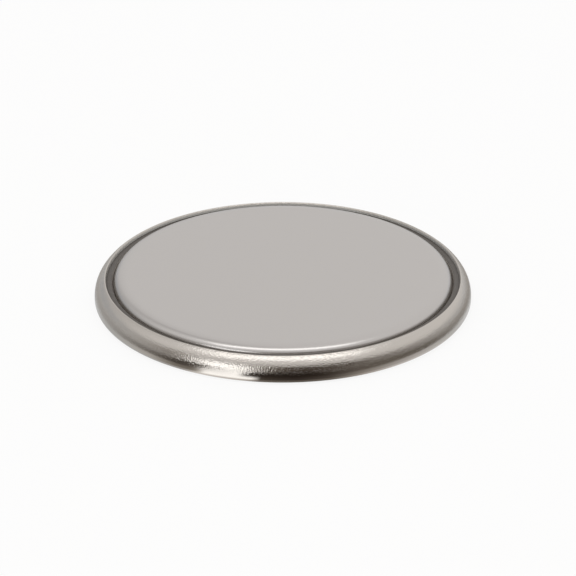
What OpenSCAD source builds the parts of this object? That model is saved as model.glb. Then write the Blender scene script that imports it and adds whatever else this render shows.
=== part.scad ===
// Thin lithium coin cell, 2016 size: a crimped positive can, a moulded gasket
// and a hemmed negative cap round a flat stack of active discs.
// Millimetres. The origin is the centre of the positive face, and +Z points
// out of the negative face. Every piece but the mesh is turned about Z.

/* [Cell] */
// Outside diameter of the cell
cell_d = 20; // [16:0.5:24.5]
// Height over both faces
cell_h = 1.6; // [1.6:0.1:3.2]
// Radial width of the seal, from the can's side to the cap's upright wall
seal_w = 1; // [0.96:0.01:1.1]

/* [Positive can] */
// Sheet thickness of the can
can_t = 0.2; // [0.16:0.01:0.25]
// Outside radius where the base turns up into the side
can_corner_r = 0.32; // [0.28:0.01:0.4]
// Outside radius of the crimp
crimp_r = 1.18; // [1.1:0.01:1.24]
// Angle through which the side is rolled over the gasket
crimp_angle = 58; // [54:1:62]
// Outside radius of the crimped lip's cut edge
lip_edge_r = 0.05; // [0.03:0.01:0.08]
// How far the lip stays below the negative face
lip_drop = 0.19; // [0.15:0.01:0.25]

/* [Negative cap] */
// Sheet thickness of the cap
cap_t = 0.2; // [0.16:0.01:0.22]
// Outside radius of the shoulder between the face and the upright wall
shoulder_r = 0.45; // [0.36:0.01:0.5]
// Inside radius of the joggle's two bends
bend_r = 0.1; // [0.08:0.01:0.14]
// Radius of the gentle easing round the face
ease_r = 2; // [1:0.1:3]
// Angle through which the easing dips before the shoulder
ease_angle = 10; // [5:1:15]
// Upright wall between the shoulder and the joggle
cap_wall = 0.07; // [0.04:0.01:0.1]
// Gap between the two legs of the hem
hem_gap = 0.03; // [0.02:0.01:0.05]
// Height of the hem's outer leg above its fold
hem_leg = 0.28; // [0.2:0.01:0.32]

/* [Gasket] */
// Thickness between the can's side and the hem
gasket_wall = 0.35; // [0.31:0.01:0.38]
// Thickness under the hem
gasket_base = 0.18; // [0.16:0.01:0.26]
// Thickness of the inner leg, inside the cap
gasket_leg_t = 0.25; // [0.2:0.01:0.3]
// Height of the inner leg above the can's base
gasket_leg_h = 0.52; // [0.45:0.01:0.58]
// How far the nose stays below the can's lip
nose_drop = 0.16; // [0.14:0.01:0.25]
// Radius of the nose that shows between lip and cap
nose_r = 0.08; // [0.06:0.01:0.1]
// Gap between the nose and the cap's upright wall
nose_gap = 0.06; // [0.05:0.01:0.12]

/* [Active stack] */
// Thickness of the collector mesh on the can's base
collector_t = 0.08; // [0.05:0.01:0.12]
// Thickness of the separator
separator_t = 0.2; // [0.1:0.01:0.3]
// Thickness of the lithium disc
anode_t = 0.32; // [0.2:0.01:0.4]
// Room between the cathode pellet and the gasket
cathode_room = 0.47; // [0.2:0.01:0.8]
// Room between the separator and the gasket
separator_room = 0.12; // [0.05:0.01:0.3]
// Room between the lithium disc and the cap's upright wall
anode_room = 0.98; // [0.6:0.01:1.4]
// Bevel on the edges of the pressed pellet
pellet_bevel = 0.06; // [0.02:0.01:0.1]
// How far the pellet overlaps the mesh all round
mesh_inset = 0.3; // [0.1:0.05:0.6]
// Plain border of the mesh
mesh_border = 0.35; // [0.2:0.05:0.6]
// Long and short way of one diamond opening
mesh_opening = [1.8, 0.9];
// Width of the strands between the openings
mesh_strand = 0.35; // [0.25:0.05:0.5]

/* [Hidden] */
$fn = 120;
// Largest turn of one straight step along a bend
arc_step = 5;

cell_r = cell_d / 2;
cap_r = cell_r - seal_w;

// Can: its corner, its upright side and the crimp.
// The cut edge's round lies against the crimp's outside and the radial end.
edge_turn = asin(lip_edge_r / (crimp_r - lip_edge_r));
crimp_rise = (crimp_r - lip_edge_r) * sin(crimp_angle - edge_turn) + lip_edge_r;
lip_top = cell_h - lip_drop;
side_top = lip_top - crimp_rise;
corner_r = min(can_corner_r, side_top);
corner_c = [cell_r - corner_r, corner_r];
crimp_c = [cell_r - crimp_r, side_top];
crimp_in_r = crimp_r - can_t;

// Cap: the bends from the face outwards. The joggle shifts the skirt from the
// upright wall to the hem with two equal and opposite bends.
bend_out_r = bend_r + cap_t;
face_drop = ease_r * (1 - cos(ease_angle));
face_r = cap_r - shoulder_r * (1 - sin(ease_angle)) - ease_r * sin(ease_angle);
ease_c = [face_r, cell_h - ease_r];
shoulder_c = [cap_r - shoulder_r,
              cell_h - face_drop - shoulder_r * cos(ease_angle)];
hem_r = cell_r - can_t - gasket_wall;
hem_bend_r = cap_t + hem_gap / 2;
hem_c = [hem_r - hem_bend_r, can_t + gasket_base + hem_bend_r];
hem_top = hem_c[1] + hem_leg;
leg_r = hem_c[0] - hem_gap / 2;
joggle_angle = acos(1 - (leg_r - cap_r) / (bend_r + bend_out_r));
flare_c = [cap_r + bend_r, shoulder_c[1] - cap_wall];
step_c = [leg_r - bend_out_r,
          flare_c[1] - (bend_r + bend_out_r) * sin(joggle_angle)];

// Gasket: its inner leg, and the nose that lies under the lip beside the cap.
gasket_in_r = leg_r - cap_t - gasket_leg_t;
nose_in_r = cap_r + nose_gap;
nose_top = lip_top - nose_drop;
nose_c = [nose_in_r + nose_r, nose_top - nose_r];

// Stack: the pellet takes the height that the other layers leave.
cathode_t = cell_h - can_t - cap_t - collector_t - separator_t - anode_t;
cathode_r = gasket_in_r - cathode_room;
collector_r = cathode_r - mesh_inset;
separator_r = gasket_in_r - separator_room;
anode_r = cap_r - cap_t - anode_room;
cathode_z = can_t + collector_t;
separator_z = cathode_z + cathode_t;
anode_z = separator_z + separator_t;

// Points along a round bend about centre c, from one angle to another.
function bend(c, r, from, to) =
    let (steps = ceil(abs(to - from) / arc_step))
    [for (i = [0:steps])
        let (a = from + (to - from) * i / steps)
        c + r * [cos(a), sin(a)]];

// Inside of the can, from the edge of its flat base up to the end of the lip.
can_inside = concat(
    bend(corner_c, corner_r - can_t, -90, 0),
    bend(crimp_c, crimp_in_r, 0, crimp_angle));

function reversed(points) =
    [for (i = [len(points) - 1:-1:0]) points[i]];

// One side of the cap's sheet, at a depth below its outside, from the axis out
// to the hem's fold. The joggle's bends have "inner" and "outer" radius there.
function cap_side(depth, inner, outer) = concat(
    [[0, cell_h - depth]],
    bend(ease_c, ease_r - depth, 90, 90 - ease_angle),
    bend(shoulder_c, shoulder_r - depth, 90 - ease_angle, 0),
    bend(flare_c, inner, 180, 180 + joggle_angle),
    bend(step_c, outer, joggle_angle, 0));

// The cap's section, with its hem either open as made or filled solid.
module cap_section(filled) {
    fold = filled ? [] : bend(hem_c, hem_gap / 2, 180, 360);
    polygon(concat(
        cap_side(0, bend_r, bend_out_r),
        fold,
        filled ? [[leg_r, hem_top]] : [[hem_r - cap_t, hem_top]],
        [[hem_r, hem_top]],
        bend(hem_c, hem_bend_r, 0, -180),
        reversed(cap_side(cap_t, bend_out_r, bend_r))));
}

// Drawn can with a flat base and its side crimped inwards over the gasket.
module positive_can() {
    lip_c = crimp_c + (crimp_r - lip_edge_r)
        * [cos(crimp_angle - edge_turn), sin(crimp_angle - edge_turn)];
    color([0.76, 0.75, 0.72])
    rotate_extrude()
    polygon(concat(
        [[0, 0]],
        bend(corner_c, corner_r, -90, 0),
        bend(crimp_c, crimp_r, 0, crimp_angle - edge_turn),
        bend(lip_c, lip_edge_r, crimp_angle - edge_turn, crimp_angle + 90),
        reversed(can_inside),
        [[0, can_t]]));
}

// Moulded ring with a channel that grips the hem. The crimp squeezes it, so it
// takes the shape of the can's inside up to the opening within the lip.
module sealing_gasket() {
    leg_top = can_t + gasket_leg_h;
    lip_in_r = can_inside[len(can_inside) - 1][0];
    color([0.24, 0.24, 0.23])
    rotate_extrude()
    difference() {
        intersection() {
            polygon(concat(
                [[gasket_in_r, can_t]],
                can_inside,
                [[lip_in_r, cell_h], [gasket_in_r, cell_h]]));
            polygon(concat(
                [[gasket_in_r, can_t], [cell_r, can_t], [cell_r, nose_top]],
                bend(nose_c, nose_r, 90, 180),
                [[nose_in_r, leg_top], [gasket_in_r, leg_top]]));
        }
        cap_section(filled = true);
    }
}

// Drawn cap: a raised face, an upright wall, a joggle and a hem folded back up.
module negative_cap()
    color([0.78, 0.77, 0.75])
    rotate_extrude()
    cap_section(filled = false);

// Lithium foil disc pressed on the inside of the cap.
module lithium_anode()
    color([0.66, 0.67, 0.69])
    translate([0, 0, anode_z])
    cylinder(r = anode_r, h = anode_t);

// Non-woven sheet that holds the electrolyte.
module separator()
    color([0.93, 0.93, 0.9])
    translate([0, 0, separator_z])
    cylinder(r = separator_r, h = separator_t);

// Pressed manganese dioxide pellet with bevelled edges.
module cathode_pellet()
    color([0.13, 0.13, 0.14])
    rotate_extrude()
    polygon([
        [0, cathode_z],
        [cathode_r - pellet_bevel, cathode_z],
        [cathode_r, cathode_z + pellet_bevel],
        [cathode_r, separator_z - pellet_bevel],
        [cathode_r - pellet_bevel, separator_z],
        [0, separator_z]]);

// Expanded steel mesh between the pellet and the can, in staggered diamonds.
module cathode_collector() {
    pitch = mesh_opening + 2 * mesh_strand * [1, 0.5];
    open_r = collector_r - mesh_border;
    rows = ceil(2 * open_r / pitch[1]);
    columns = ceil(open_r / pitch[0]);
    half = mesh_opening / 2;
    color([0.6, 0.6, 0.58])
    translate([0, 0, can_t])
    linear_extrude(collector_t)
    difference() {
        circle(collector_r);
        for (row = [-rows:rows], column = [-columns:columns]) {
            at = [(column + (row % 2 == 0 ? 0 : 0.5)) * pitch[0],
                  row * pitch[1] / 2];
            if (norm(at) + half[0] < open_r)
                translate(at)
                polygon([[half[0], 0], [0, half[1]],
                         [-half[0], 0], [0, -half[1]]]);
        }
    }
}

positive_can();
sealing_gasket();
negative_cap();
lithium_anode();
separator();
cathode_pellet();
cathode_collector();
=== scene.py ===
# Thin lithium coin cell: crimped steel can, moulded gasket and raised cap, lying on a white studio floor.
# Shapes are worked out in millimetres and become metres when their mesh is written.
import math
import bpy
import numpy as np
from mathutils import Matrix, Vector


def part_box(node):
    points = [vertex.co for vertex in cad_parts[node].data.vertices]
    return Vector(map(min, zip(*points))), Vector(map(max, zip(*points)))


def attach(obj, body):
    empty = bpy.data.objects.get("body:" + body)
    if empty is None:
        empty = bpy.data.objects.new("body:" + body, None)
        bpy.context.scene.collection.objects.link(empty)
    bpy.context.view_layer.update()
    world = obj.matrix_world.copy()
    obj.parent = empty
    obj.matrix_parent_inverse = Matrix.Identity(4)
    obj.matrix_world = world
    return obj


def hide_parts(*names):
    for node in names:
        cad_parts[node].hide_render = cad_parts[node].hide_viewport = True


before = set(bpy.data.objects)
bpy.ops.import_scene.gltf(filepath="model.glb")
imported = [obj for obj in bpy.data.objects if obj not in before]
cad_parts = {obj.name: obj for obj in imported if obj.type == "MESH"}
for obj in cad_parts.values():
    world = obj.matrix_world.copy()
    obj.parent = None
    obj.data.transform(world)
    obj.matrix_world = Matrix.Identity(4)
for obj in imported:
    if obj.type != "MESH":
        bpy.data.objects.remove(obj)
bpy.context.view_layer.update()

metresPerMm = 0.001
roundSteps = 360    # steps round the axis on every turned piece
sharpCorner = 35    # degrees; a crease sharper than this keeps its edge in the shading


def boxMm(node):
    # lowest and highest corner of a solid
    low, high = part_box(node)
    return np.array(low) / metresPerMm, np.array(high) / metresPerMm


def toLinear(hexCode):
    # each sRGB channel by the standard curve, with a straight foot below 0.04045
    channels = [int(hexCode[i:i + 2], 16) / 255 for i in (1, 3, 5)]
    return [c / 12.92 if c <= 0.04045 else ((c + 0.055) / 1.055) ** 2.4 for c in channels] + [1.0]


def addNode(tree, kind, settings=None, links=None):
    # one node; a setting is a property of the node or the value of one of its sockets
    node = tree.nodes.new(kind)
    for name, value in (settings or {}).items():
        if isinstance(name, str) and hasattr(node, name):
            setattr(node, name, value)
        else:
            node.inputs[name].default_value = value
    for name, source in (links or {}).items():
        tree.links.new(source, node.inputs[name])
    return node


def newMaterial(name):
    # an empty node tree with its output; the caller builds the shader
    material = bpy.data.materials.new(name)
    material.use_nodes = True
    tree = material.node_tree
    tree.nodes.clear()
    return material, tree, addNode(tree, "ShaderNodeOutputMaterial")


def arc(centre, radius, start, stop, steps):
    # a round bend: centre plus radius times (cos, sin) of an angle stepped evenly in degrees
    turn = np.radians(np.linspace(start, stop, steps + 1))
    return np.column_stack([centre[0] + radius * np.cos(turn), centre[1] + radius * np.sin(turn)])


def turnedPiece(name, profile, relief=None):
    # Surface of revolution: a closed profile of (radius, height) points carried round Z, so that a
    # point is (r cos a, r sin a, z). relief(x, y) lifts the points that lie at the profile's lowest height.
    r, z = np.asarray(profile, float).T
    if np.sum(r * np.roll(z, -1) - np.roll(r, -1) * z) < 0:
        r, z = r[::-1], z[::-1]
    capped = r.min() < 1e-9
    if capped:    # start and end on the axis
        shift = -int(np.flatnonzero((r < 1e-9) & (np.roll(r, 1) < 1e-9))[0])
        r, z = np.roll(r, shift), np.roll(z, shift)
    ringR, ringZ = (r[1:-1], z[1:-1]) if capped else (r, z)
    rings = len(ringR)
    angle = np.arange(roundSteps) * 2 * np.pi / roundSteps
    x = ringR[:, None] * np.cos(angle)
    y = ringR[:, None] * np.sin(angle)
    height = np.repeat(ringZ[:, None], roundSteps, axis=1)
    poles = [[0, 0, z[0]], [0, 0, z[-1]]] if capped else []
    if relief:
        foot = ringZ < ringZ.min() + 1e-9
        height[foot] += relief(x[foot], y[foot])
        poles[0][2] += float(relief(np.zeros(1), np.zeros(1))[0])
    points = np.stack([x, y, height], -1).reshape(-1, 3)

    here = np.arange(rings if not capped else rings - 1)[:, None] * roundSteps
    above = (here + roundSteps) % (rings * roundSteps)
    step = np.arange(roundSteps)[None]
    after = (step + 1) % roundSteps
    quads = np.stack([here + step, here + after, above + after, above + step], -1).reshape(-1, 4)
    faces = quads.tolist()
    if capped:
        points = np.vstack([points, poles])
        first, last, top = rings * roundSteps, rings * roundSteps + 1, (rings - 1) * roundSteps
        faces += np.column_stack([np.full(roundSteps, first), after[0], step[0]]).tolist()
        faces += np.column_stack([np.full(roundSteps, last), top + step[0], top + after[0]]).tolist()
    mesh = bpy.data.meshes.new(name)
    mesh.from_pydata((points * metresPerMm).tolist(), [], faces)
    mesh.shade_smooth()
    mesh.set_sharp_from_angle(angle=math.radians(sharpCorner))
    mesh.validate()
    piece = bpy.data.objects.new(name, mesh)
    bpy.context.scene.collection.objects.link(piece)
    return piece


def finishPiece(piece, material, node):
    # material, body, slot and the solid that the piece stands for
    piece.data.materials.append(material)
    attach(piece, "root")
    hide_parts(node)


canHigh = boxMm("positive_can")[1]
gasketLow = boxMm("sealing_gasket")[0]
capLow, capHigh = boxMm("negative_cap")
sheet = gasketLow[2]    # the gasket stands on the can's base, so its foot gives the sheet's thickness

can = {
    "radius": canHigh[0],
    "top": canHigh[2],
    "cornerRadius": 0.32,    # outside, where the base turns up
    "crimpRadius": 1.18,     # outside
    "crimpAngle": 58.0,      # how far the side is rolled in
    "lipEdgeRadius": 0.05,
}
# the round edge sits inside the crimp's outer bend, so its centre turns on a bend smaller by its radius
edgeReach = can["crimpRadius"] - can["lipEdgeRadius"]
edgeTurn = math.degrees(math.asin(can["lipEdgeRadius"] / edgeReach))
edgeStart = can["crimpAngle"] - edgeTurn    # degrees round the crimp, where its round edge begins
crimpRise = edgeReach * math.sin(math.radians(edgeStart)) + can["lipEdgeRadius"]
sideTop = can["top"] - crimpRise
cornerCentre = np.array([can["radius"] - can["cornerRadius"], can["cornerRadius"]])
crimpCentre = np.array([can["radius"] - can["crimpRadius"], sideTop])
crimpInside = can["crimpRadius"] - sheet

polarityMark = {
    "length": 4.0,       # of each bar of the plus sign stamped in the base
    "width": 0.7,
    "depth": 0.04,
    "slope": 0.12,       # width of the stamped edge
    "ringStep": 0.04,    # how finely the base is divided under the sign
    "ringMargin": 0.4,   # and how far beyond it
    "outerRings": 8,     # from there to the corner
}


def polarityRelief(x, y):
    # depth of a plus sign: the smaller of two bars' distances, eased by 3t^2 - 2t^3 across its edge
    half, thick = polarityMark["length"] / 2, polarityMark["width"] / 2
    bar = np.minimum(np.maximum(abs(x) - half, abs(y) - thick),
                     np.maximum(abs(x) - thick, abs(y) - half))
    t = np.clip(0.5 - bar / polarityMark["slope"], 0, 1)
    return polarityMark["depth"] * (3 * t ** 2 - 2 * t ** 3)


def canProfile():
    # underside outwards, corner, side, crimp, round lip edge, then back along the inside
    margin = polarityMark["ringMargin"]
    fine = np.arange(0, polarityMark["length"] / 2 + margin, polarityMark["ringStep"])
    coarse = np.linspace(fine[-1] + margin, cornerCentre[0] - margin / 2, polarityMark["outerRings"])
    base = np.concatenate([fine, coarse])
    lipTurn = math.radians(edgeStart)
    lipCentre = crimpCentre + edgeReach * np.array([math.cos(lipTurn), math.sin(lipTurn)])
    return np.vstack([
        np.column_stack([base, np.zeros(len(base))]),
        arc(cornerCentre, can["cornerRadius"], -90, 0, steps=20),
        arc(crimpCentre, can["crimpRadius"], 0, edgeStart, steps=36),
        arc(lipCentre, can["lipEdgeRadius"], edgeStart, can["crimpAngle"] + 90, steps=12)[1:],
        arc(crimpCentre, crimpInside, can["crimpAngle"], 0, steps=24),
        arc(cornerCentre, can["cornerRadius"] - sheet, 0, -90, steps=10),
        [[0, sheet]],
    ])


cap = {
    "wallRadius": can["radius"] - 1.0,    # outside of the upright wall, 1 mm in from the can's side
    "shoulderRadius": 0.45,               # outside, between the face and that wall
    "bendRadius": 0.1,                    # inside of the joggle's two bends
    "easeRadius": 2.0,                    # gentle easing round the face
    "easeAngle": 10.0,
    "wall": 0.07,                         # height of that wall between shoulder and joggle
    "hemGap": 0.03,                       # between the hem's two layers
    "hemLeg": 0.28,                       # height of its outer layer above the fold's centre
    "faceRings": (0, 3, 6),               # radii at which the flat face is divided
}
bendOutside = cap["bendRadius"] + sheet
easeTurn = math.radians(cap["easeAngle"])
faceRadius = (cap["wallRadius"] - cap["shoulderRadius"] * (1 - math.sin(easeTurn))
              - cap["easeRadius"] * math.sin(easeTurn))
easeCentre = np.array([faceRadius, capHigh[2] - cap["easeRadius"]])
shoulderCentre = np.array([
    cap["wallRadius"] - cap["shoulderRadius"],
    capHigh[2] - cap["easeRadius"] * (1 - math.cos(easeTurn)) - cap["shoulderRadius"] * math.cos(easeTurn)])
hemBend = sheet + cap["hemGap"] / 2
hemCentre = np.array([capHigh[0] - hemBend, capLow[2] + hemBend])
hemTop = hemCentre[1] + cap["hemLeg"]
legRadius = hemCentre[0] - cap["hemGap"] / 2
# two equal and opposite bends step the wall out to the leg, by both radii times 1 - cos of their angle
joggle = math.degrees(math.acos(1 - (legRadius - cap["wallRadius"]) / (cap["bendRadius"] + bendOutside)))
flareCentre = np.array([cap["wallRadius"] + cap["bendRadius"], shoulderCentre[1] - cap["wall"]])
stepCentre = np.array([
    legRadius - bendOutside,
    flareCentre[1] - (cap["bendRadius"] + bendOutside) * math.sin(math.radians(joggle))])


def capSide(depth, inner, outer):
    # one side of the cap's sheet, at a depth below its outside, from the axis out to its hem
    return np.vstack([
        [[ring, capHigh[2] - depth] for ring in cap["faceRings"]],
        arc(easeCentre, cap["easeRadius"] - depth, 90, 90 - cap["easeAngle"], steps=10),
        arc(shoulderCentre, cap["shoulderRadius"] - depth, 90 - cap["easeAngle"], 0, steps=24)[1:],
        arc(flareCentre, inner, 180, 180 + joggle, steps=12),
        arc(stepCentre, outer, joggle, 0, steps=12)[1:],
    ])


def capProfile():
    # outside of the sheet, hem folded up, and back along the inside
    return np.vstack([
        capSide(0, cap["bendRadius"], bendOutside),
        arc(hemCentre, cap["hemGap"] / 2, 180, 360, steps=12),
        [[capHigh[0] - sheet, hemTop], [capHigh[0], hemTop]],
        arc(hemCentre, hemBend, 0, -180, steps=20),
        capSide(sheet, bendOutside, cap["bendRadius"])[::-1],
    ])


gasket = {
    "legThickness": 0.25,      # of its inner leg, inside the cap's hem
    "legTop": sheet + 0.52,
    "noseDrop": 0.16,          # below the can's lip
    "noseRadius": 0.08,
    "noseGap": 0.06,           # between the nose and the cap's wall
}
gasketInside = legRadius - sheet - gasket["legThickness"]
noseInside = cap["wallRadius"] + gasket["noseGap"]
noseTop = can["top"] - gasket["noseDrop"]
noseTurn = math.degrees(math.asin((noseTop - sideTop) / crimpInside))
noseCentre = np.array([noseInside + gasket["noseRadius"], noseTop - gasket["noseRadius"]])


def gasketProfile():
    # along the can's inside, over the nose, down to the cap's joggle and round under its hem; the nose's
    # inner side meets the joggle's lower bend where that bend reaches the same radius
    meets = math.degrees(math.acos((noseInside - stepCentre[0]) / bendOutside))
    return np.vstack([
        [[gasketInside, sheet]],
        arc(cornerCentre, can["cornerRadius"] - sheet, -90, 0, steps=10),
        arc(crimpCentre, crimpInside, 0, noseTurn, steps=30),
        arc(noseCentre, gasket["noseRadius"], 90, 180, steps=14),
        arc(stepCentre, bendOutside, meets, 0, steps=12),
        [[legRadius, hemTop], [capHigh[0], hemTop]],
        arc(hemCentre, hemBend, 0, -180, steps=20),
        [[hemCentre[0] - hemBend, gasket["legTop"]], [gasketInside, gasket["legTop"]]],
    ])


plate = {
    "canColour": "#CBC6C0",
    "capColour": "#C7C4C2",
    "canRoughness": (0.14, 0.20),    # where it shines most and least
    "capRoughness": (0.22, 0.26),
    "cloudSize": 1.5,                # mm, how far apart those places lie
    "peelSize": 0.08,                # mm, dimples left on the rolled sheet
    "peelDepth": 0.015,              # mm, on the crimp
    "peelRange": (0.44, 0.54),       # mm above the base; below it the die has left the sheet smooth
    "cornerPeel": 0.15,              # share of that depth on the base and its corner
    "capPeel": 0.0008,               # mm, on the cap, which was only pressed
    "grainSize": 0.045,              # mm, drawn coarser than the plate's real grain, so that it shows
    "grainDepth": 0.0012,
    "cutColour": "#9C9B98",          # darker steel on the lip's cut edge
    "cutReach": (9.37, 9.42),        # mm from the axis; the darker cut edge lies inside it, the plate's own colour outside
    "cutHeight": 1.1,                # mm above the base; all of the cut lies higher
}


def perMm(size):
    # scale of a pattern that repeats about every size in millimetres
    return 1 / (size * metresPerMm)


def nickelPlate(name, colour, cutColour, roughness, peelDepth, lowShare):
    # Cold-rolled steel, nickel-plated and drawn: a warm silvery mirror dulled to satin by fine grain, and
    # broken at the edges of its reflections by the dimples that rolling the crimp leaves.
    material, tree, output = newMaterial(name)
    place = addNode(tree, "ShaderNodeTexCoord").outputs["Object"]
    height = addNode(tree, "ShaderNodeSeparateXYZ", None, {0: place}).outputs["Z"]
    worked = addNode(tree, "ShaderNodeMapRange",
                     {"interpolation_type": "SMOOTHSTEP",
                      "From Min": plate["peelRange"][0] * metresPerMm,
                      "From Max": plate["peelRange"][1] * metresPerMm,
                      "To Min": lowShare, "To Max": 1.0}, {"Value": height})
    dimples = addNode(tree, "ShaderNodeTexNoise", {"Scale": perMm(plate["peelSize"]), "Detail": 1.0},
                      {"Vector": place})
    grain = addNode(tree, "ShaderNodeTexNoise", {"Scale": perMm(plate["grainSize"]), "Detail": 1.0},
                    {"Vector": place})
    clouds = addNode(tree, "ShaderNodeTexNoise", {"Scale": perMm(plate["cloudSize"]), "Detail": 3.0},
                     {"Vector": place})
    coarse = addNode(tree, "ShaderNodeBump", {"Distance": peelDepth * metresPerMm},
                     {"Height": dimples.outputs["Fac"], "Strength": worked.outputs["Result"]})
    fine = addNode(tree, "ShaderNodeBump", {"Distance": plate["grainDepth"] * metresPerMm},
                   {"Height": grain.outputs["Fac"], "Normal": coarse.outputs["Normal"]})
    satin = addNode(tree, "ShaderNodeMapRange", {"To Min": roughness[0], "To Max": roughness[1]},
                    {"Value": clouds.outputs["Fac"]})
    # the lip ends in the strip's cut, which is all that lies high up and near enough to the axis; that
    # distance is the length of the place with its height taken as 0
    level = addNode(tree, "ShaderNodeVectorMath", {"operation": "MULTIPLY", 1: (1, 1, 0)}, {0: place})
    reach = addNode(tree, "ShaderNodeVectorMath", {"operation": "LENGTH"}, {0: level.outputs["Vector"]})
    inside = addNode(tree, "ShaderNodeMapRange",
                     {"From Min": plate["cutReach"][0] * metresPerMm,
                      "From Max": plate["cutReach"][1] * metresPerMm,
                      "To Min": 1.0, "To Max": 0.0}, {"Value": reach.outputs["Value"]})
    above = addNode(tree, "ShaderNodeMath",
                    {"operation": "GREATER_THAN", 1: plate["cutHeight"] * metresPerMm}, {0: height})
    cut = addNode(tree, "ShaderNodeMath", {"operation": "MULTIPLY"},
                  {0: inside.outputs["Result"], 1: above.outputs[0]})
    tint = addNode(tree, "ShaderNodeMix",
                   {"data_type": "RGBA", 6: toLinear(colour), 7: toLinear(cutColour)}, {0: cut.outputs[0]})
    shader = addNode(tree, "ShaderNodeBsdfPrincipled", {"Metallic": 1.0},
                     {"Base Color": tint.outputs[2], "Roughness": satin.outputs["Result"],
                      "Normal": fine.outputs["Normal"]})
    tree.links.new(shader.outputs["BSDF"], output.inputs["Surface"])
    return material


plastic = {
    "noseTones": ("#4A4541", "#625D58"),    # the nose's own grey-brown, in two tones that vary from place to place
    "smearSize": 0.4,                      # mm, how far apart those places lie
    # painted fill light: a pale tone that stands in for light down in the gap beside the cap, where shade
    # falls
    "paintedFillColour": "#C9C3BB",
    "fillReach": (1.17, 1.24),              # mm above the base, from the painted fill light up to the nose's own tone
    "roughness": 0.45,
    "ior": 1.49,
}


def mouldedPolypropylene(name):
    # Moulded polypropylene: a soft waxy grey-brown on the top of its nose, slightly uneven, and a pale
    # painted fill light down in the gap, where shade falls, which keeps the line beside the cap from going
    # black
    material, tree, output = newMaterial(name)
    place = addNode(tree, "ShaderNodeTexCoord").outputs["Object"]
    height = addNode(tree, "ShaderNodeSeparateXYZ", None, {0: place}).outputs["Z"]
    smear = addNode(tree, "ShaderNodeTexNoise", {"Scale": perMm(plastic["smearSize"]), "Detail": 3.0},
                    {"Vector": place})
    thick, thin = plastic["noseTones"]
    noseTone = addNode(tree, "ShaderNodeMix", {"data_type": "RGBA", 6: toLinear(thick), 7: toLinear(thin)},
                  {0: smear.outputs["Fac"]})
    above = addNode(tree, "ShaderNodeMapRange",
                    {"From Min": plastic["fillReach"][0] * metresPerMm,
                     "From Max": plastic["fillReach"][1] * metresPerMm}, {"Value": height})
    # below the nose the painted fill light takes the place of the plastic's own tone
    tone = addNode(tree, "ShaderNodeMix", {"data_type": "RGBA", 6: toLinear(plastic["paintedFillColour"])},
                   {0: above.outputs["Result"], 7: noseTone.outputs[2]})
    shader = addNode(tree, "ShaderNodeBsdfPrincipled",
                     {"Roughness": plastic["roughness"], "IOR": plastic["ior"]},
                     {"Base Color": tone.outputs[2]})
    tree.links.new(shader.outputs["BSDF"], output.inputs["Surface"])
    return material


stack = {
    # the discs inside; a pattern's size and depth are in mm, and a stretch below 1 draws it out along X
    "lithium_anode": {
        "name": "rolledLithiumFoil", "dark": "#9C9EA2", "light": "#BFC1C4",
        "metallic": 1.0, "roughness": 0.5, "size": 0.25, "depth": 0.004, "stretch": 0.1},
    "separator": {
        "name": "nonWovenPolypropylene", "dark": "#D9D7CE", "light": "#F4F3EE",
        "metallic": 0.0, "roughness": 0.9, "size": 0.06, "depth": 0.02, "stretch": 0.35},
    "cathode_pellet": {
        "name": "pressedManganeseDioxide", "dark": "#1B1B1D", "light": "#302F31",
        "metallic": 0.0, "roughness": 0.85, "size": 0.05, "depth": 0.01, "stretch": 1.0},
    "cathode_collector": {
        "name": "expandedStainlessSteel", "dark": "#8E8D8A", "light": "#B4B2AE",
        "metallic": 1.0, "roughness": 0.35, "size": 0.4, "depth": 0.003, "stretch": 1.0},
}


def stackMaterial(name, dark, light, metallic, roughness, size, depth, stretch):
    # foil shows faint rolling lines, non-woven cloth short fibres, pressed powder a fine grit, and the
    # expanded mesh a dull shine
    material, tree, output = newMaterial(name)
    place = addNode(tree, "ShaderNodeTexCoord")
    drawn = addNode(tree, "ShaderNodeMapping", {"Scale": (stretch, 1.0, 1.0)},
                    {"Vector": place.outputs["Object"]})
    pattern = addNode(tree, "ShaderNodeTexNoise", {"Scale": perMm(size), "Detail": 4.0},
                      {"Vector": drawn.outputs["Vector"]})
    tone = addNode(tree, "ShaderNodeMix", {"data_type": "RGBA", 6: toLinear(dark), 7: toLinear(light)},
                   {0: pattern.outputs["Fac"]})
    relief = addNode(tree, "ShaderNodeBump", {"Distance": depth * metresPerMm},
                     {"Height": pattern.outputs["Fac"]})
    shader = addNode(tree, "ShaderNodeBsdfPrincipled", {"Metallic": metallic, "Roughness": roughness},
                     {"Base Color": tone.outputs[2], "Normal": relief.outputs["Normal"]})
    tree.links.new(shader.outputs["BSDF"], output.inputs["Surface"])
    return material


canPlate = nickelPlate("nickelPlatedCan", plate["canColour"], plate["cutColour"], plate["canRoughness"],
                       plate["peelDepth"], plate["cornerPeel"])
# the cap's own cut is folded away in its hem, so it gets no darker edge
capPlate = nickelPlate("nickelPlatedCap", plate["capColour"], plate["capColour"], plate["capRoughness"],
                       plate["capPeel"], 1.0)
gasketPlastic = mouldedPolypropylene("mouldedPolypropylene")
for node, finish in stack.items():
    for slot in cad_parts[node].material_slots:
        slot.material = stackMaterial(**finish)
print("materials ready")

canPiece = turnedPiece("canSurface", canProfile(), polarityRelief)
finishPiece(canPiece, canPlate, "positive_can")
capPiece = turnedPiece("capSurface", capProfile())
finishPiece(capPiece, capPlate, "negative_cap")
gasketPiece = turnedPiece("gasketSurface", gasketProfile())
finishPiece(gasketPiece, gasketPlastic, "sealing_gasket")
print("casing turned")

studio = {
    "floorSize": 4.0,          # metres
    "floorColour": "#FAFAFA",
    "floorGlow": 0.86,         # share of plain white in what the floor shows
    "cameraElevation": 25.6,   # degrees
    "cameraDistance": 0.4,     # metres
    "viewWidth": 30.59,        # mm across the frame at the cell
    "sensor": 36.0,            # mm
    "aim": (0.27, 0, 0.78),    # mm
    "clip": (0.01, 20.0),      # metres, nearest and farthest thing that the camera sees
}


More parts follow.
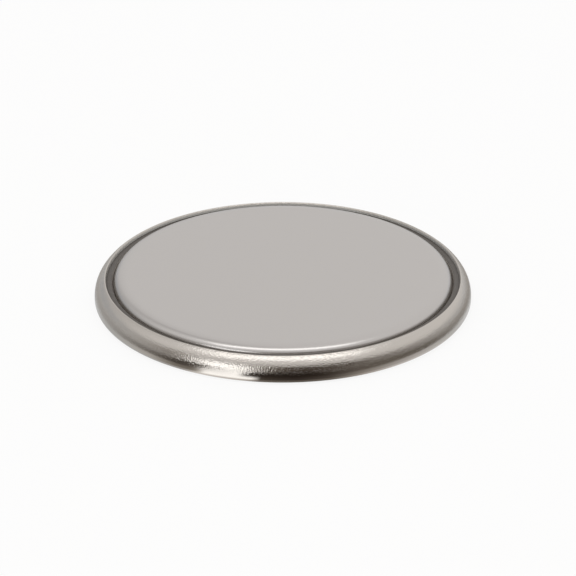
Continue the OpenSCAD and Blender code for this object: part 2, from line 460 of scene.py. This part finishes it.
def stageMesh(name, points, faces, material):
    # something that belongs to the studio and not to the cell
    mesh = bpy.data.meshes.new(name)
    mesh.from_pydata(points, [], faces)
    mesh.materials.append(material)
    item = bpy.data.objects.new(name, mesh)
    bpy.context.scene.collection.objects.link(item)
    return item


def studioFloor():
    # a flat white sheet; camera and mirror rays see it part plain white, part lit, so shadows stay
    material, tree, output = newMaterial("whitePaper")
    ray = addNode(tree, "ShaderNodeLightPath")
    seen = addNode(tree, "ShaderNodeMath", {"operation": "ADD"},
                   {0: ray.outputs["Is Camera Ray"], 1: ray.outputs["Is Glossy Ray"]})
    seenAll = addNode(tree, "ShaderNodeMath", {"operation": "ADD"},
                      {0: seen.outputs[0], 1: ray.outputs["Is Transmission Ray"]})
    share = addNode(tree, "ShaderNodeMath", {"operation": "MULTIPLY", 1: studio["floorGlow"]},
                    {0: seenAll.outputs[0]})
    paper = addNode(tree, "ShaderNodeBsdfDiffuse", {"Color": toLinear(studio["floorColour"])})
    white = addNode(tree, "ShaderNodeEmission", {"Strength": 1.0})
    mixed = addNode(tree, "ShaderNodeMixShader", None,
                    {0: share.outputs[0], 1: paper.outputs[0], 2: white.outputs[0]})
    tree.links.new(mixed.outputs[0], output.inputs["Surface"])
    half = studio["floorSize"] / 2
    stageMesh("studioFloor", [(-half, -half, 0), (half, -half, 0), (half, half, 0), (-half, half, 0)],
              [(0, 1, 2, 3)], material)


def tonesRound(tree, place, tones, ends):
    # a colour that goes round Z: atan2(x, -y) turned into a place on a ramp of tones by degrees
    parts = addNode(tree, "ShaderNodeSeparateXYZ", None, {0: place})
    front = addNode(tree, "ShaderNodeMath", {"operation": "MULTIPLY", 1: -1.0}, {0: parts.outputs["Y"]})
    angle = addNode(tree, "ShaderNodeMath", {"operation": "ARCTAN2"},
                    {0: parts.outputs["X"], 1: front.outputs[0]})
    turn = addNode(tree, "ShaderNodeMapRange", {"From Min": -math.pi, "From Max": math.pi},
                   {"Value": angle.outputs[0]})
    ramp = addNode(tree, "ShaderNodeValToRGB", None, {"Fac": turn.outputs["Result"]})
    stops = ramp.color_ramp.elements
    stops[0].color = stops[1].color = toLinear(ends)
    for degrees, colour in tones.items():
        stops.new((degrees + 180) / 360).color = toLinear(colour)
    return ramp.outputs["Color"]


card = {
    "radii": (9.72, 60.0),         # mm; it starts under the can's corner
    "height": 0.002,               # mm above the floor
    "strength": 1.65,              # how brightly its tones glow
    "footReach": (9.97, 10.22),    # mm from the axis, over which the foot's tones give way to the near ones
    "nearReach": (10.58, 10.9),    # and these to the far ones
    # painted reflection tones by degrees round the cell, 0 at the camera's side and + towards +X: white on
    # the left of the front, dark from there to the right, and grey towards the sides
    # the foot's tones paint the floor right by the cell as the can mirrors it: painted contact shade greys
    # the white on the left, and the right is paler
    "footTones": {
        -85: "#BCBDBE", -65: "#A8A9AA", -45: "#A4A5A5", -32: "#9B9A99", -27: "#C4C2C0", -12: "#B0ADAA",
        -7: "#6A6560", 5: "#5C5752", 15: "#6A6560", 25: "#98948F", 35: "#B5B3B1", 45: "#B9B8B7",
        60: "#BBBBBB", 75: "#BEBFC0"
    },
    "nearTones": {
        -88: "#A8A9AA", -67: "#9FA0A0", -57: "#A4A4A3", -47: "#A2A09D", -36: "#6F6A64", -30: "#6C6761",
        -27.5: "#9A9691", -25: "#FFFFFF", -10: "#FFFFFF", -7: "#3C3631", 5: "#322C28", 15: "#453F3A",
        26: "#7E7974", 36: "#989592", 47: "#A8A6A5", 57: "#ABABAA", 67: "#A9AAAA", 78: "#B0B1B2"
    },
    "farTones": {
        -75: "#8F8E8D", -55: "#716E6B", -45: "#56524E", -40: "#45403C", -36: "#332E2A", -30: "#5A5550",
        -26: "#E0E0E0", -15: "#FFFFFF", -12: "#2A2420", 3: "#211B17", 12: "#28221D", 25: "#524C47",
        35: "#5C5751", 45: "#5C5751", 55: "#5C5853", 65: "#6A6662", 75: "#7E7B78"
    },
    "ends": "#A09D99",    # straight behind
}


def paintedReflectionCard():
    # a glowing ring round the cell, no lamp, that only mirror rays see; it paints a room's reflection on
    # the can's lower side, pale and dark shapes with painted contact shade by its foot, and its tone goes
    # from foot to near to far with the distance from the axis
    material, tree, output = newMaterial("paintedReflectionCard")
    place = addNode(tree, "ShaderNodeTexCoord").outputs["Object"]
    near = tonesRound(tree, place, card["nearTones"], card["ends"])
    far = tonesRound(tree, place, card["farTones"], card["ends"])
    foot = tonesRound(tree, place, card["footTones"], card["ends"])
    reach = addNode(tree, "ShaderNodeVectorMath", {"operation": "LENGTH"}, {0: place})
    clear, away = [addNode(tree, "ShaderNodeMapRange",
                           {"From Min": start * metresPerMm, "From Max": stop * metresPerMm},
                           {"Value": reach.outputs["Value"]})
                   for start, stop in (card["footReach"], card["nearReach"])]
    ground = addNode(tree, "ShaderNodeMix", {"data_type": "RGBA"},
                     {0: away.outputs["Result"], 6: near, 7: far})
    tone = addNode(tree, "ShaderNodeMix", {"data_type": "RGBA"},
                   {0: clear.outputs["Result"], 6: foot, 7: ground.outputs[2]})
    # the ring glows with its painted reflection tones
    glow = addNode(tree, "ShaderNodeEmission", {"Strength": card["strength"]}, {"Color": tone.outputs[2]})
    tree.links.new(glow.outputs[0], output.inputs["Surface"])
    turn = np.arange(roundSteps) * 2 * np.pi / roundSteps
    rings = [np.column_stack([r * np.cos(turn), r * np.sin(turn), np.full(roundSteps, card["height"])])
             for r in card["radii"]]
    here = np.arange(roundSteps)
    after = (here + 1) % roundSteps
    faces = np.column_stack([here, here + roundSteps, after + roundSteps, after])
    ring = stageMesh("paintedReflectionCard", (np.vstack(rings) * metresPerMm).tolist(), faces.tolist(), material)
    ring.visible_camera = ring.visible_diffuse = ring.visible_shadow = ring.visible_transmission = False


lamps = {
    # degrees round the cell and up, 0 at the camera's side and + towards +X; distance, width and height
    # in metres; and radiance
    "overheadBox": (0, 72, 0.6, 0.7, 0.24, 0.5),
    "overheadStrip": (0, 72, 0.62, 0.82, 0.24, 0.6),
    "sideBox": (-36, 10.5, 0.6, 0.34, 0.27, 1.6),
}


def softbox(name, azimuth, elevation, distance, width, height, radiance):
    # a flat lamp that faces the cell; its power is radiance times pi times its area
    turn, rise = math.radians(azimuth), math.radians(elevation)
    towards = np.array([math.cos(rise) * math.sin(turn), -math.cos(rise) * math.cos(turn), math.sin(rise)])
    lamp = bpy.data.lights.new(name, "AREA")
    lamp.shape = "RECTANGLE"
    lamp.size, lamp.size_y = width, height
    lamp.energy = radiance * math.pi * width * height
    holder = bpy.data.objects.new(name, lamp)
    holder.location = towards * distance
    holder.rotation_euler = (math.pi / 2 - rise, 0, turn)
    holder.visible_camera = False
    bpy.context.scene.collection.objects.link(holder)


room = {
    # tones by degrees round the cell, 0 at the camera's side and + towards +X: pale behind, and dark in
    # front of the cell to the right
    "low": {
        -150: "#AFB3B8", -130: "#B9BBBE", -110: "#C1C1C1", -90: "#BDBAB7", -70: "#999490", -56: "#9A958F",
        -53: "#B0B0B0", -20: "#B0B0B0", -14: "#968F87", -6: "#6E655D", 3: "#4A4038", 12: "#41372F",
        30: "#50473F", 50: "#77706A", 70: "#8C8783", 90: "#9F9B98", 110: "#B0AFAE", 130: "#BCBDBF",
        150: "#C3C6CA"
    },
    "high": {-140: "#CFCDCB", -120: "#DCDAD8", -95: "#EDEBE9"},
    "ends": ("#C9CCD0", "#EDEBE9"),    # low and high, straight behind
    "fade": (21, 44),                  # degrees up, from the low tones to the high ones, straight in front
    "tilt": (0.07, 0.2),               # how much lower that fade lies to the right, and behind
}


def studioWorld():
    # a pale room: its low tone goes round the horizon and fades to the high tone by 3t^2 - 2t^3 of the
    # height, which is z plus the first tilt times x plus the second tilt times 1 + y
    world = bpy.data.worlds.new("paleRoom")
    bpy.context.scene.world = world
    world.use_nodes = True
    tree = world.node_tree
    tree.nodes.clear()
    way = addNode(tree, "ShaderNodeTexCoord")
    parts = addNode(tree, "ShaderNodeSeparateXYZ", None, {0: way.outputs["Generated"]})
    low = tonesRound(tree, way.outputs["Generated"], room["low"], room["ends"][0])
    high = tonesRound(tree, way.outputs["Generated"], room["high"], room["ends"][1])
    lean = addNode(tree, "ShaderNodeMath",
                   {"operation": "MULTIPLY_ADD", 1: room["tilt"][0], 2: room["tilt"][1]},
                   {0: parts.outputs["X"]})
    back = addNode(tree, "ShaderNodeMath", {"operation": "MULTIPLY_ADD", 1: room["tilt"][1]},
                   {0: parts.outputs["Y"], 2: lean.outputs[0]})
    height = addNode(tree, "ShaderNodeMath", {"operation": "ADD"},
                     {0: parts.outputs["Z"], 1: back.outputs[0]})
    start, stop = np.sin(np.radians(room["fade"]))
    rise = addNode(tree, "ShaderNodeMapRange",
                   {"interpolation_type": "SMOOTHSTEP", "From Min": start, "From Max": stop},
                   {"Value": height.outputs[0]})
    tone = addNode(tree, "ShaderNodeMix", {"data_type": "RGBA"},
                   {0: rise.outputs["Result"], 6: low, 7: high})
    ray = addNode(tree, "ShaderNodeLightPath")
    lit = addNode(tree, "ShaderNodeBackground", None, {"Color": tone.outputs[2]})
    white = addNode(tree, "ShaderNodeBackground", {"Color": (1, 1, 1, 1), "Strength": 1.0})
    mixed = addNode(tree, "ShaderNodeMixShader", None,
                    {0: ray.outputs["Is Camera Ray"], 1: lit.outputs[0], 2: white.outputs[0]})
    output = addNode(tree, "ShaderNodeOutputWorld")
    tree.links.new(mixed.outputs[0], output.inputs["Surface"])


def studioCamera():
    # focal length is sensor width times distance over the width that is seen there
    lens = bpy.data.cameras.new("studioCamera")
    lens.sensor_width = studio["sensor"]
    lens.lens = studio["sensor"] * studio["cameraDistance"] / (studio["viewWidth"] * metresPerMm)
    lens.clip_start, lens.clip_end = studio["clip"]
    camera = bpy.data.objects.new("studioCamera", lens)
    rise = math.radians(studio["cameraElevation"])
    back = np.array([0, -math.cos(rise), math.sin(rise)])
    camera.location = np.array(studio["aim"]) * metresPerMm + back * studio["cameraDistance"]
    camera.rotation_euler = (math.pi / 2 - rise, 0, 0)
    bpy.context.scene.collection.objects.link(camera)
    bpy.context.scene.camera = camera


studioFloor()
paintedReflectionCard()
studioWorld()
for name, values in lamps.items():
    softbox(name, *values)
studioCamera()
bpy.context.scene.view_settings.view_transform = "Standard"
print("studio ready")
